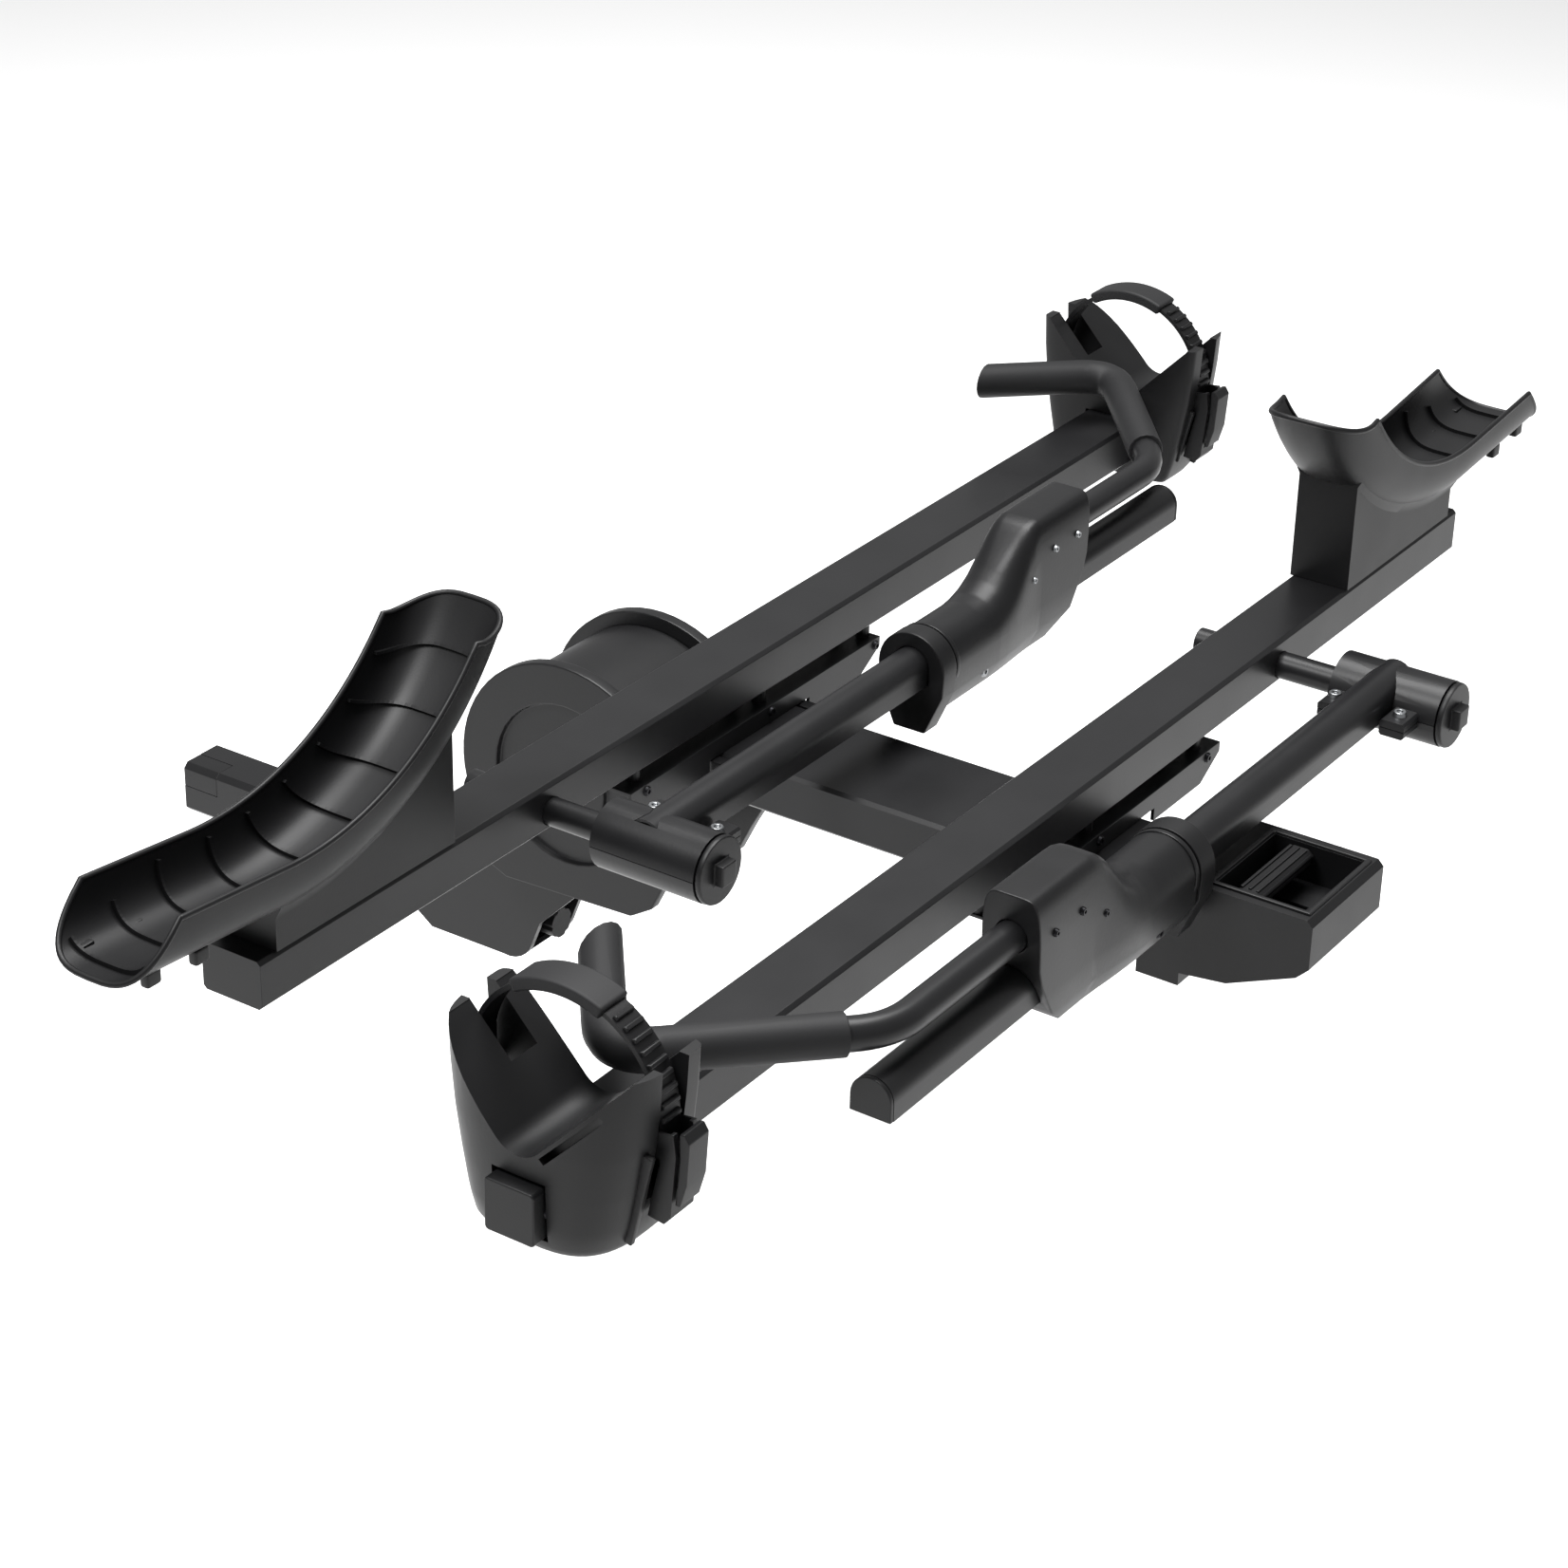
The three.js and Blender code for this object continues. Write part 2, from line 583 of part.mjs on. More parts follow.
// The head slides along the arm and carries the hook that goes over the tyre.
function ratchetHead(prefix, group) {
  const { start, barrel, crest, end, top, half } = HEAD;
  const station = (x, halfWidth, high, squareness, low) => {
    const crown = arc(0, 0, 1, 0, 180, 12).map(([y, z]) => [
      x,
      ARM.y + halfWidth * Math.sign(y) * Math.abs(y) ** squareness,
      COLLAR.z + (high - COLLAR.z) * Math.max(z, 0) ** squareness,
    ]);
    return [...crown, [x, ARM.y - halfWidth * 0.6, low], [x, ARM.y + halfWidth * 0.6, low]];
  };
  const shape = loft([
    station(start, 30, 55.5, 1, -16),
    station(barrel, 30, 55.5, 1, -16),
    station(barrel + 20, 29, 61, 0.9, -16),
    station(barrel + 42, 27, 78, 0.7, -16),
    station(barrel + 62, half + 0.6, 98, 0.5, -16),
    station(crest, half, top, 0.35, -16),
    station(end + 2, half, top, 0.35, -16),
  ]);
  const heel = [
    [end + 10, -40],
    [end + 10, top + 10],
    [end, top + 10],
    [end - 4, 48],
    [end - 26, 4],
    [end - 51, -14],
    [end - 60, -40],
  ];
  const head = shape
    .subtract(prism("y", heel, -180, -80))
    .subtract(armSection(GAP, start - 10, end + 10))
    .subtract(rod("x", ARM.y, HOOK.z, HOOK.radius + GAP, crest - 9, end + 10, 16))
    .subtract(box(start + 30, start + 66, ARM.y - 8, ARM.y + 8, -4, ARM.bottom));
  piece(prefix + "ratchet_head", head, castBlack, group);

  // The pawl bears on the flat underside of the arm, and drops when the collar is pulled.
  const pawlTop = ARM.bottom - 0.5;
  const pawl = box(start + 31, start + 65, ARM.y - 7, ARM.y + 7, pawlTop - 11, pawlTop);
  piece(prefix + "ratchet_pawl", pawl, darkSteel, group);

  const { radius, z, keel } = COLLAR;
  const outline = [
    ...arc(ARM.y, z, radius, 0, 180, 18),
    [ARM.y - radius + 1, 6],
    [ARM.y - 15, keel],
    [ARM.y + 15, keel],
    [ARM.y + radius - 1, 6],
  ];
  const ring = prism("x", outline, COLLAR.start, COLLAR.end);
  const collar = ring.subtract(armSection(GAP, COLLAR.start - 1, COLLAR.end + 1));
  piece(prefix + "release_collar", collar, plastic, group);

  // The hook rod leaves the head above the arm, crosses over the beam and turns back.
  const first = [1084, ARM.y, HOOK.z];
  const second = [1231.5, 0, 80];
  const tip = [1116, 92, 88];
  const crossing = new THREE.Vector3(...second).sub(new THREE.Vector3(...first)).normalize();
  const along = (distance) =>
    new THREE.Vector3(...first).addScaledVector(crossing, distance).toArray();
  const hook = bentBar([[crest - 8, ARM.y, HOOK.z], first, along(72)], [26], HOOK.radius, 20);
  piece(prefix + "hook_rod", hook, powderCoat, group);
  const bore = bentBar([along(20), along(73)], [], HOOK.radius + GAP, 1);
  const sleeve = bentBar([along(32), second, tip], [36], HOOK.sleeve, 24).subtract(bore);
  piece(prefix + "hook_sleeve", sleeve, rubber, group);
}

// ---- The whole rack ---------------------------------------------------------------------
const rack = new THREE.Group();
hitchBase(rack);
mast(rack);
TRAYS.forEach(({ name, direction, y }) => {
  const tray = new THREE.Group();
  const prefix = name + "_";
  trayBeam(prefix, tray);
  saddle(prefix, tray);
  scoop(prefix, tray);
  cup(prefix, tray);
  hookArm(prefix, tray);
  ratchetHead(prefix, tray);
  tray.position.set(-SCOOP_END * direction, y, TRAY_BOTTOM);
  tray.scale.x = direction;
  rack.add(tray);
});

export default rack;
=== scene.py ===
# %% [markdown]
# A hitch mounted bike rack is a set of steel tubes, castings and moulded plastic pieces. The
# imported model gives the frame: each body, each node and each joint. Everything below is made
# in metres in that same frame, so that a piece goes where the frame says without any fitting.

# %% Load the frame
import json
import math
import bmesh
import bpy
from mathutils import Matrix, Vector


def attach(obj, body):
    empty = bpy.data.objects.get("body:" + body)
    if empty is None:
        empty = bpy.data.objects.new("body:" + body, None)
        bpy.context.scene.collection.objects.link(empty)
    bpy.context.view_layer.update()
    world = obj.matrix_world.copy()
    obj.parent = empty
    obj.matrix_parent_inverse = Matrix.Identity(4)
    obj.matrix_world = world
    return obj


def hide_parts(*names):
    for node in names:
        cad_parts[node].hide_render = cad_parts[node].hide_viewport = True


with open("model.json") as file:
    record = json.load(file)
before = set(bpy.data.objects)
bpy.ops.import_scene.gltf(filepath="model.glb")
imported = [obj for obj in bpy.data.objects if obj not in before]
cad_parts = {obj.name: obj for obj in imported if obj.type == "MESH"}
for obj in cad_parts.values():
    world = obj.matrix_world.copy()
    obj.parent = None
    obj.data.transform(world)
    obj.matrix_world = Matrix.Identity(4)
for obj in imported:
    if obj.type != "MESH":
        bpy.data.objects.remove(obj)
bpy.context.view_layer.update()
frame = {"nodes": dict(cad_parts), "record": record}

# %% [markdown]
# The camera stands to the front left of the rack and looks slightly down on it. It comes
# first, so that every later step can be judged through it. A long lens keeps the two trays
# almost parallel.

# %% Camera
camera = bpy.data.objects.new("camera", bpy.data.cameras.new("camera"))
bpy.context.scene.collection.objects.link(camera)
right = Vector((0.56381516, -0.82565013, 0.02035493))
up = Vector((0.37661914, 0.27896134, 0.88336776))
back = Vector((-0.73503095, -0.49039007, 0.46823828))
turn = Matrix((right, up, back)).transposed().to_4x4()
camera.matrix_world = Matrix.Translation((-2.2512, -2.0870, 1.6335)) @ turn
camera.data.lens = 85.05
camera.data.sensor_width = 36.0
bpy.context.scene.camera = camera
print("lens", camera.data.lens)

# %% [markdown]
# A finish is made from what the real one is. One function turns a hex colour to the linear
# values that the shader wants, and one adds a node with its settings and its links.

# %% Colour and node helpers
MM = 0.001


def linear(code):
    channels = [int(code[i : i + 2], 16) / 255 for i in (1, 3, 5)]
    return [c / 12.92 if c <= 0.04045 else ((c + 0.055) / 1.055) ** 2.4 for c in channels] + [1.0]


def add_node(tree, kind, links=(), **settings):
    node = tree.nodes.new(kind)
    for key, value in settings.items():
        name = key.replace("_", " ")
        if hasattr(node, key):
            setattr(node, key, value)
        else:
            node.inputs[name].default_value = value
    for name, source in dict(links).items():
        tree.links.new(source, node.inputs[name])
    return node


print("mid grey in linear light", round(linear("#808080")[0], 4))

# %% [markdown]
# Most finishes on a rack are black, and the eye tells them apart by their sheen and grain.
# Each of them gets a fine grain that bumps the surface, and a broad, faint cloud that makes
# the colour and the roughness uneven, as handling and moulding do.

# %% A grained finish
def grained(name, low, high, rough, grain_mm, bump_mm, metallic=0.0, cloud_mm=60):
    material = bpy.data.materials.new(name)
    material.use_nodes = True
    tree = material.node_tree
    shader = tree.nodes["Principled BSDF"]
    shader.inputs["Metallic"].default_value = metallic
    if metallic == 0.0:
        # A matt black skin scatters its first reflection, so it mirrors less than clear paint.
        shader.inputs["IOR"].default_value = 1.5
        shader.inputs["Specular IOR Level"].default_value = 0.22
    place = add_node(tree, "ShaderNodeTexCoord").outputs["Object"]
    # Noise with a scale of 1 has features about one unit across, so 1 / size sets the grain.
    cloud = add_node(tree, "ShaderNodeTexNoise", {"Vector": place}, Scale=1 / (cloud_mm * MM))
    grain = add_node(tree, "ShaderNodeTexNoise", {"Vector": place}, Scale=1 / (grain_mm * MM))
    tint = add_node(tree, "ShaderNodeMix", {"Factor": cloud.outputs["Fac"]}, data_type="RGBA")
    tint.inputs["A"].default_value = linear(low)
    tint.inputs["B"].default_value = linear(high)
    tree.links.new(tint.outputs["Result"], shader.inputs["Base Color"])
    sheen = add_node(tree, "ShaderNodeMapRange", {"Value": cloud.outputs["Fac"]})
    sheen.inputs["To Min"].default_value = rough - 0.05
    sheen.inputs["To Max"].default_value = rough + 0.05
    tree.links.new(sheen.outputs["Result"], shader.inputs["Roughness"])
    relief = add_node(
        tree, "ShaderNodeBump", {"Height": grain.outputs["Fac"]},
        Distance=bump_mm * MM, Strength=0.5,
    )
    tree.links.new(relief.outputs["Normal"], shader.inputs["Normal"])
    return material


# %% [markdown]
# Powder coat is sprayed on as dry paint and baked, which leaves a faint orange peel. Moulded
# nylon takes a fine leather grain from its mould. The die-cast pieces are painted over a
# slightly lumpy skin. Rubber is the dullest and softest, and the fasteners are zinc plated.

# %% The finishes
# Baked powder: an orange peel about 2 mm across gives the tubes wide, soft highlights.
powder_coat = grained("satin_powder_coat", "#101011", "#171718", 0.36, 2.2, 0.05)
# Paint over a lumpy casting: its highlight breaks up, so it looks heavier than a tube.
cast_paint = grained("painted_die_casting", "#0d0d0e", "#141415", 0.38, 3.0, 0.10)
# Moulded nylon: real grain is about 0.4 mm, drawn at 1.4 mm so that it shows and dulls the skin.
nylon = grained("grained_black_nylon", "#09090a", "#0f0f10", 0.44, 1.4, 0.09)
# Polyurethane: smoother than nylon, with a low and even sheen.
strap_plastic = grained("soft_black_polyurethane", "#080809", "#0e0e0f", 0.45, 1.8, 0.05)
# Rubber: the palest and dullest of the blacks, with no clear highlight.
rubber = grained("black_rubber", "#131314", "#1a1a1b", 0.60, 1.6, 0.12)
# Zinc plate: a bright spot that picks out each screw. Its grain is drawn coarser than real.
zinc = grained("zinc_plated_steel", "#7c7e80", "#96989a", 0.34, 1.2, 0.03, metallic=1.0)
# Black oxide: dark bare steel, a little brighter than the paint round it.
dark_steel = grained("black_oxide_steel", "#1b1b1d", "#28282a", 0.38, 1.2, 0.03, metallic=1.0)
print("finishes", len(bpy.data.materials))

BY_SLOT = {
    "powder_coat": powder_coat,
    "cast_black": cast_paint,
    "black_plastic": nylon,
    "soft_plastic": strap_plastic,
    "black_rubber": rubber,
    "zinc_plate": zinc,
    "dark_steel": dark_steel,
}

# %% [markdown]
# Every node of the frame is given the finish of its slot, so that whatever stays in view is
# finished, even where only a small part of it shows.

# %% Finish the carried-over nodes
SLOT_OF = {entry["node"]: entry["material_slot"] for entry in frame["record"]["subparts"]}
BODY_OF = {n: b for b, nodes in frame["record"]["behaviour"]["bodies"].items() for n in nodes}
for node, thing in frame["nodes"].items():
    thing.data.materials.clear()
    thing.data.materials.append(BY_SLOT[SLOT_OF[node]])
print("nodes finished", len(frame["nodes"]))

# %% [markdown]
# A tray is modelled in millimetres along its own beam: from the scoop's end, sideways from
# the middle, and up from the underside. Two places put it in the frame, and the rear one is
# mirrored. A mirrored shape is inside out until its normals are recalculated.

# %% Where the trays stand
FRONT = Matrix.Translation((-0.6134, -0.5331, 0.2729)) @ Matrix.Scale(MM, 4)
REAR = Matrix.Translation((0.6134, -0.8638, 0.2729)) @ Matrix.Diagonal((-MM, MM, MM, 1))
RACK = Matrix.Scale(MM, 4)
TRAYS = {"front_": FRONT, "rear_": REAR}
print("trays", list(TRAYS))

# %% [markdown]
# Every piece ends in the same steps: it is moved to its place, shaded smooth apart from its
# sharp edges, given a finish, and told which body it rides on. One function does all of it,
# because a step left out for one piece would show only when that body moves.

# %% Put a finished shape in the frame
def smooth(bm, degrees):
    for face in bm.faces:
        face.smooth = True
    for edge in bm.edges:
        edge.smooth = len(edge.link_faces) == 2 and edge.calc_face_angle(0) < math.radians(degrees)


def make(name, bm, place, material, body, replaces=(), crease=32, even=True):
    """Puts a finished shape in the frame as one piece that rides on a body."""
    bmesh.ops.transform(bm, matrix=place, verts=bm.verts)
    if place.determinant() < 0:
        # The mirror turned the shape inside out, so its normals are worked out again.
        bmesh.ops.recalc_face_normals(bm, faces=bm.faces)
    smooth(bm, crease)
    mesh = bpy.data.meshes.new(name)
    bm.to_mesh(mesh)
    bm.free()
    piece = bpy.data.objects.new(name, mesh)
    bpy.context.scene.collection.objects.link(piece)
    mesh.materials.append(material)
    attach(piece, body)
    if replaces:
        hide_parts(*replaces)
    if even:
        # Large faces keep the normals at their rims, so a flat wall still looks flat.
        piece.modifiers.new("even_normals", "WEIGHTED_NORMAL").keep_sharp = True
    return piece


# %% [markdown]
# No real edge is sharp: paint, moulding and casting all round it, and the round catches the
# light as a thin line. A node whose shape is right is copied, its loose triangles are merged
# and joined into flat faces, and its sharp edges get a bevel as wide as the real one.

# %% Round the edges of a node
def soften(bm, width, degrees=28, segments=2):
    bmesh.ops.remove_doubles(bm, verts=bm.verts, dist=width * 0.02)
    bmesh.ops.dissolve_limit(bm, angle_limit=math.radians(0.6), verts=bm.verts, edges=bm.edges)
    limit = math.radians(degrees)
    sharp = [e for e in bm.edges if len(e.link_faces) == 2 and e.calc_face_angle(0) > limit]
    bmesh.ops.bevel(
        bm,
        geom=sharp,
        offset=width,
        offset_type="OFFSET",
        segments=segments,
        profile=0.5,
        affect="EDGES",
        clamp_overlap=True,
        material=-1,
    )


def rounded(node, width_mm, degrees=28, segments=2, crease=32):
    bm = bmesh.new()
    bm.from_mesh(frame["nodes"][node].data)
    bmesh.ops.transform(bm, matrix=Matrix.Scale(1000, 4), verts=bm.verts)
    bmesh.ops.remove_doubles(bm, verts=bm.verts, dist=0.005)
    soften(bm, width_mm, degrees, segments)
    slot = SLOT_OF[node]
    return make(node + "_rounded", bm, RACK, BY_SLOT[slot], BODY_OF[node], (node,), crease)


# %% [markdown]
# Many pieces have the right shape already: tubes, plates, clamps and covers. They could be
# modelled again, but a copy with rounded edges keeps every hole where the frame has it. A
# sawn tube gets a small round, and a thick moulding such as the handle gets a large one.

# %% Pieces that only need their edges rounded
EDGE_MM = {
    "hitch_tongue": 0.8,
    "anti_rattle_wedge": 0.6,
    "attach_knob": 1.0,
    "riser_left": 0.9,
    "riser_right": 0.9,
    "pivot_hood": 1.0,
    "pivot_cover_left": 2.2,
    "pivot_cover_right": 2.2,
    "mast_tube": 1.0,
    "handle_shell": 4.0,
}
TRAY_EDGE_MM = {
    "tray_beam": 1.5,
    "saddle_bracket": 0.8,
    "cup_block": 2.0,
    "pivot_shaft": 0.6,
    "clamp_upper": 1.4,
    "clamp_lower": 1.4,
    "shaft_end_cap": 1.6,
    "arm_tube": 0.6,
    "arm_plug": 0.8,
    "release_collar": 1.6,
    "strap_buckle": 0.8,
    "buckle_lever": 1.0,
}
for node, width in EDGE_MM.items():
    rounded(node, width)
for prefix in TRAYS:
    for node, width in TRAY_EDGE_MM.items():
        rounded(prefix + node, width)
print("rounded pieces", len(EDGE_MM) + 2 * len(TRAY_EDGE_MM))

# %% [markdown]
# The moulded and cast pieces have curved skins. Each starts as one row of vertices, which is
# extruded again and again, and every new row is moved to its place on the real surface.

# %% Skins, prisms and cuts
def skin(rows, columns, where, closed=False):
    bm = bmesh.new()
    row = [bm.verts.new(where(0, c)) for c in range(columns)]
    pairs = list(zip(row, row[1:])) + ([(row[-1], row[0])] if closed else [])
    edges = [bm.edges.new(pair) for pair in pairs]
    for r in range(1, rows):
        made = bmesh.ops.extrude_edge_only(bm, edges=edges)["geom"]
        fresh = {v for v in made if isinstance(v, bmesh.types.BMVert)}
        known = {v: i for i, v in enumerate(row)}
        next_row = [None] * columns
        for vertex in fresh:
            for edge in vertex.link_edges:
                other = edge.other_vert(vertex)
                if other in known:
                    next_row[known[other]] = vertex
        row = next_row
        for c, vertex in enumerate(row):
            vertex.co = where(r, c)
        edges = [e for e in made if isinstance(e, bmesh.types.BMEdge) and set(e.verts) <= fresh]
    return bm


def close_ends(bm):
    bmesh.ops.holes_fill(bm, edges=[e for e in bm.edges if len(e.link_faces) == 1], sides=0)
    bmesh.ops.recalc_face_normals(bm, faces=bm.faces)
    return bm


# %% [markdown]
# Plates, slots and pins have the same outline all along one direction. Pushing an outline
# along an axis is the shortest way to make them, and a block and a disc are two such shapes.

# %% Prisms, blocks and discs
AXIS_TURN = {
    "x": Matrix(((0, 0, 1, 0), (1, 0, 0, 0), (0, 1, 0, 0), (0, 0, 0, 1))),
    "y": Matrix(((1, 0, 0, 0), (0, 0, -1, 0), (0, 1, 0, 0), (0, 0, 0, 1))),
    "z": Matrix.Identity(4),
}


def prism(axis, outline, low, high):
    """An outline pushed along one axis: x takes (y, z), y takes (x, z) and z takes (x, y)."""
    bm = bmesh.new()
    start, end = (-high, -low) if axis == "y" else (low, high)
    face = bm.faces.new([bm.verts.new((a, b, start)) for a, b in outline])
    made = bmesh.ops.extrude_face_region(bm, geom=[face])["geom"]
    moved = [v for v in made if isinstance(v, bmesh.types.BMVert)]
    bmesh.ops.translate(bm, vec=(0, 0, end - start), verts=moved)
    bmesh.ops.transform(bm, matrix=AXIS_TURN[axis], verts=bm.verts)
    bmesh.ops.recalc_face_normals(bm, faces=bm.faces)
    return bm


def block(x0, x1, y0, y1, z0, z1):
    return prism("x", [(y0, z0), (y1, z0), (y1, z1), (y0, z1)], x0, x1)


def disc(axis, a, b, radius, low, high, sides=40):
    turns = [2 * math.pi * i / sides for i in range(sides)]
    ring = [(a + radius * math.cos(t), b + radius * math.sin(t)) for t in turns]
    return prism(axis, ring, low, high)


# %% [markdown]
# Slots and bores are cut by taking one closed shape out of another. The exact solver is slower
# than the fast one, but it copes with faces that lie on each other.

# %% Cutting and joining
def held(bm, name="tool"):
    mesh = bpy.data.meshes.new(name)
    bm.to_mesh(mesh)
    bm.free()
    thing = bpy.data.objects.new(name, mesh)
    bpy.context.scene.collection.objects.link(thing)
    return thing


def carved(bm, cutters, operation="DIFFERENCE"):
    """Takes closed shapes out of a closed shape, or joins them to it."""
    work = held(bm, "work")
    tools = [held(cutter) for cutter in cutters]
    for tool in tools:
        cut = work.modifiers.new("cut", "BOOLEAN")
        cut.operation = operation
        cut.solver = "EXACT"
        cut.object = tool
    result = bmesh.new()
    result.from_object(work, bpy.context.evaluated_depsgraph_get())
    for thing in [work, *tools]:
        bpy.data.objects.remove(thing)
    bmesh.ops.remove_doubles(result, verts=result.verts, dist=0.01)
    return result


# %% [markdown]
# The wheel scoop is a thin moulded trough: level at its outer end, then rising on an arc that
# fits the tyre. Its side walls end in a rounded lip, its nose is rounded, and ribs cross its
# floor to grip the tyre. One open row makes the trough and Solidify gives it its wall.

# %% Wheel scoops
RIM_AT, RIM_Z, RIM_RADIUS, RIM_LIFT = 36.3, 358.2, 245.0, 5.6
SCOOP_ROWS, SCOOP_COLUMNS = 46, 29


def rim_place(degrees):
    a = math.radians(degrees)
    return RIM_AT + RIM_RADIUS * math.sin(a), RIM_Z - RIM_RADIUS * math.cos(a), a


def scoop_station(step, side):
    """Step goes from the outer end to the nose, and side from -1 to 1 across the trough."""
    straight = 14
    if step < straight:
        x0, z0, a = rim_place(-RIM_LIFT)
        x = -148 + (x0 + 148) * step / straight
        return x, z0 + (x - x0) * math.tan(a), a, 47 - 3 * step / straight
    share = (step - straight) / (SCOOP_ROWS - 1 - straight)
    nose = 50.5 + 7.5 * math.sqrt(max(0.0, 1 - side * side))
    x, z, a = rim_place(-RIM_LIFT + (nose + RIM_LIFT) * share)
    return x, z, a, 44 - 4.5 * max(0.0, share - 0.55) / 0.45


def scoop_point(step, column, inset=0.0):
    t = math.pi * column / (SCOOP_COLUMNS - 1)
    side = math.cos(t)
    x, z, a, depth = scoop_station(step, side)
    across = (44.8 - inset) * math.copysign(abs(side) ** 0.62, side)
    down = (depth - inset) * math.sin(t) ** 0.72 if 0 < column < SCOOP_COLUMNS - 1 else 0.0
    flare = 1 + 0.05 * max(0.0, 1 - step / 14)
    return Vector((x + down * math.sin(a), across * flare, z - down * math.cos(a)))


def cut_wall(bm):
    """The side walls are cut on a slope towards the outer end."""
    slope = Vector((0.70, 0.0, -0.72)).normalized()
    everything = [*bm.verts, *bm.edges, *bm.faces]
    bmesh.ops.bisect_plane(
        bm, geom=everything, plane_co=(-94, 0, 124), plane_no=-slope, clear_outer=True, dist=0.01
    )


print("scoop rows and columns", SCOOP_ROWS, SCOOP_COLUMNS)

# %% [markdown]
# A lip and a bent tube are both a round section carried along a path. A curve with a bevel
# depth does that, with no twist at the bends, and is then turned to a mesh.

# %% Round bars and lips
def swept(points, radius, cyclic):
    """A round bar along points, made as a curve with a round section and turned to a mesh."""
    curve = bpy.data.curves.new("bar", "CURVE")
    curve.dimensions = "3D"
    curve.bevel_depth = radius
    curve.bevel_resolution = 6
    curve.use_fill_caps = True
    spline = curve.splines.new("POLY")
    spline.points.add(len(points) - 1)
    for point, place in zip(spline.points, points):
        point.co = (*place, 1)
    spline.use_cyclic_u = cyclic
    thing = bpy.data.objects.new("bar", curve)
    bpy.context.scene.collection.objects.link(thing)
    ready = thing.evaluated_get(bpy.context.evaluated_depsgraph_get())
    mesh = bpy.data.meshes.new_from_object(ready)
    bm = bmesh.new()
    bm.from_mesh(mesh)
    bpy.data.objects.remove(thing)
    bpy.data.meshes.remove(mesh)
    bmesh.ops.remove_doubles(bm, verts=bm.verts, dist=0.01)
    bmesh.ops.recalc_face_normals(bm, faces=bm.faces)
    return bm


def edge_bead(bm, radius):
    """A rounded lip along the open edge of a surface, swept as a curve."""
    border = [e for e in bm.edges if len(e.link_faces) == 1]
    start = border[0].verts[0]
    path, used, here = [start], set(), start
    while True:
        step = next((e for e in here.link_edges if e in border and e not in used), None)
        if step is None:
            break
        used.add(step)
        here = step.other_vert(here)
        path.append(here)
    return swept([v.co.copy() for v in path[:-1]], radius, True)


# %% [markdown]
# The trough is one open sheet, and Solidify gives it its wall in both directions. Its ribs are
# rows of short bars that follow the floor, and small tabs hang from it. Each part has its own
# function, so that both trays are made in the same way.

# %% Make the scoops
SCOOP_WALL, LIP_RADIUS, RIB_INSET = 2.8, 2.3, 3.6
RIB_STEPS = (3, 7, 11, 16, 21, 26, 31, 36, 41)


def scoop_shell(prefix, place):
    sheet = skin(SCOOP_ROWS, SCOOP_COLUMNS, lambda r, c: scoop_point(r, c, SCOOP_WALL / 2))
    cut_wall(sheet)
    lip = edge_bead(sheet, LIP_RADIUS)
    bmesh.ops.recalc_face_normals(sheet, faces=sheet.faces)
    shell = make(
        prefix + "scoop_trough", sheet, place, nylon, "mast",
        (prefix + "wheel_scoop",), crease=50, even=False,
    )
    wall = shell.modifiers.new("wall", "SOLIDIFY")
    wall.thickness = SCOOP_WALL * MM
    wall.offset = 0
    wall.use_even_offset = True
    make(prefix + "scoop_lip", lip, place, nylon, "mast", crease=60)


def scoop_ribs(prefix, place):
    ribs = bmesh.new()
    for step in RIB_STEPS:
        first = 1 if step > 9 else 7 if step < 5 else 4
        for c in range(first, SCOOP_COLUMNS - 1 - first):
            a, b = scoop_point(step, c, RIB_INSET), scoop_point(step, c + 1, RIB_INSET)
            run = b - a
            inward = run.cross(scoop_point(step + 1, c, RIB_INSET) - a).normalized()
            along = inward.cross(run).normalized()
            turned = Matrix((run.normalized(), along, inward)).transposed().to_4x4()
            size = Matrix.Diagonal((run.length * 1.05, 2.4, 5.0, 1))
            at = Matrix.Translation((a + b) / 2) @ turned @ size
            bmesh.ops.create_cube(ribs, size=1.0, matrix=at)
    make(prefix + "scoop_ribs", ribs, place, nylon, "mast", crease=40)


def scoop_tabs(prefix, place):
    tabs = bmesh.new()
    for x, z in ((-109, 82), (-62, 77)):
        for side in (-30, 30):
            at = Matrix.Translation((x, side, z)) @ Matrix.Diagonal((14, 8, 12, 1))
            bmesh.ops.create_cube(tabs, size=1.0, matrix=at)
    soften(tabs, 2.0)
    make(prefix + "scoop_tabs", tabs, place, nylon, "mast")


for prefix, place in TRAYS.items():
    scoop_shell(prefix, place)
    scoop_ribs(prefix, place)
    scoop_tabs(prefix, place)
print("scoops made")

# %% [markdown]
# The scoop stands on a pedestal whose flanks run from the trough's sides down to the beam. It
# is a loft from end to end, with the trough's own outside cut out of its top.

# %% Pedestals
PEDESTAL_OUT, PEDESTAL_IN, BEAM_TOP = 18.0, 215.5, 39.7


def pedestal_point(row, column):
    x = PEDESTAL_OUT + (PEDESTAL_IN - PEDESTAL_OUT) * row / 24
    bend = min(1.0, max(-1.0, (x - RIM_AT) / (RIM_RADIUS + 22)))
    rim = RIM_Z - (RIM_RADIUS + 22) * math.cos(math.asin(bend))
    belly = max(BEAM_TOP + 0.5, rim - 26)
    outline = [
        (-27.3, BEAM_TOP), (27.3, BEAM_TOP), (27.3, belly),
        (41.5, rim), (-41.5, rim), (-27.3, belly),
    ]
    y, z = outline[column]
    return Vector((x, y, max(z, BEAM_TOP)))


